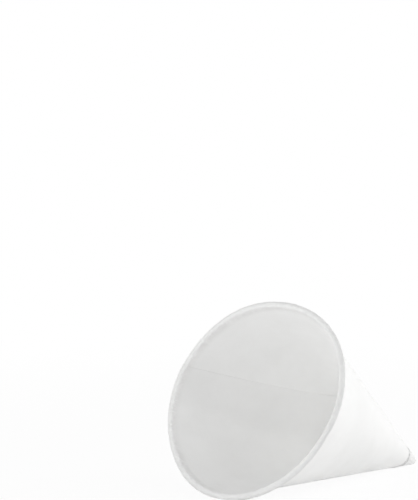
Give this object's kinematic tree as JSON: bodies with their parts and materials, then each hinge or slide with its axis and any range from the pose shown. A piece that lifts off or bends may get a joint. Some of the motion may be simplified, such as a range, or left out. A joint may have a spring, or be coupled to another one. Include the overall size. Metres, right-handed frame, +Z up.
{
  "type": "cone paper cup",
  "caption": "Plain white cone paper cup wound from one sheet, with a lapped seam, a tight closed tip and an outward rolled rim, lying on its side.",
  "frame": {"origin": "middle of the foot of the bounding box, on the ground that the cup lies on", "axes": "+X level along the cup as it lies, from the tip to the mouth; +Z up, away from the ground"},
  "size_m": [0.102, 0.0726, 0.064],
  "materials": {
    "paper": "matte, uncoated"
  },
  "bodies": {
    "root": {"cup": "paper"}
  },
  "joints": []
}
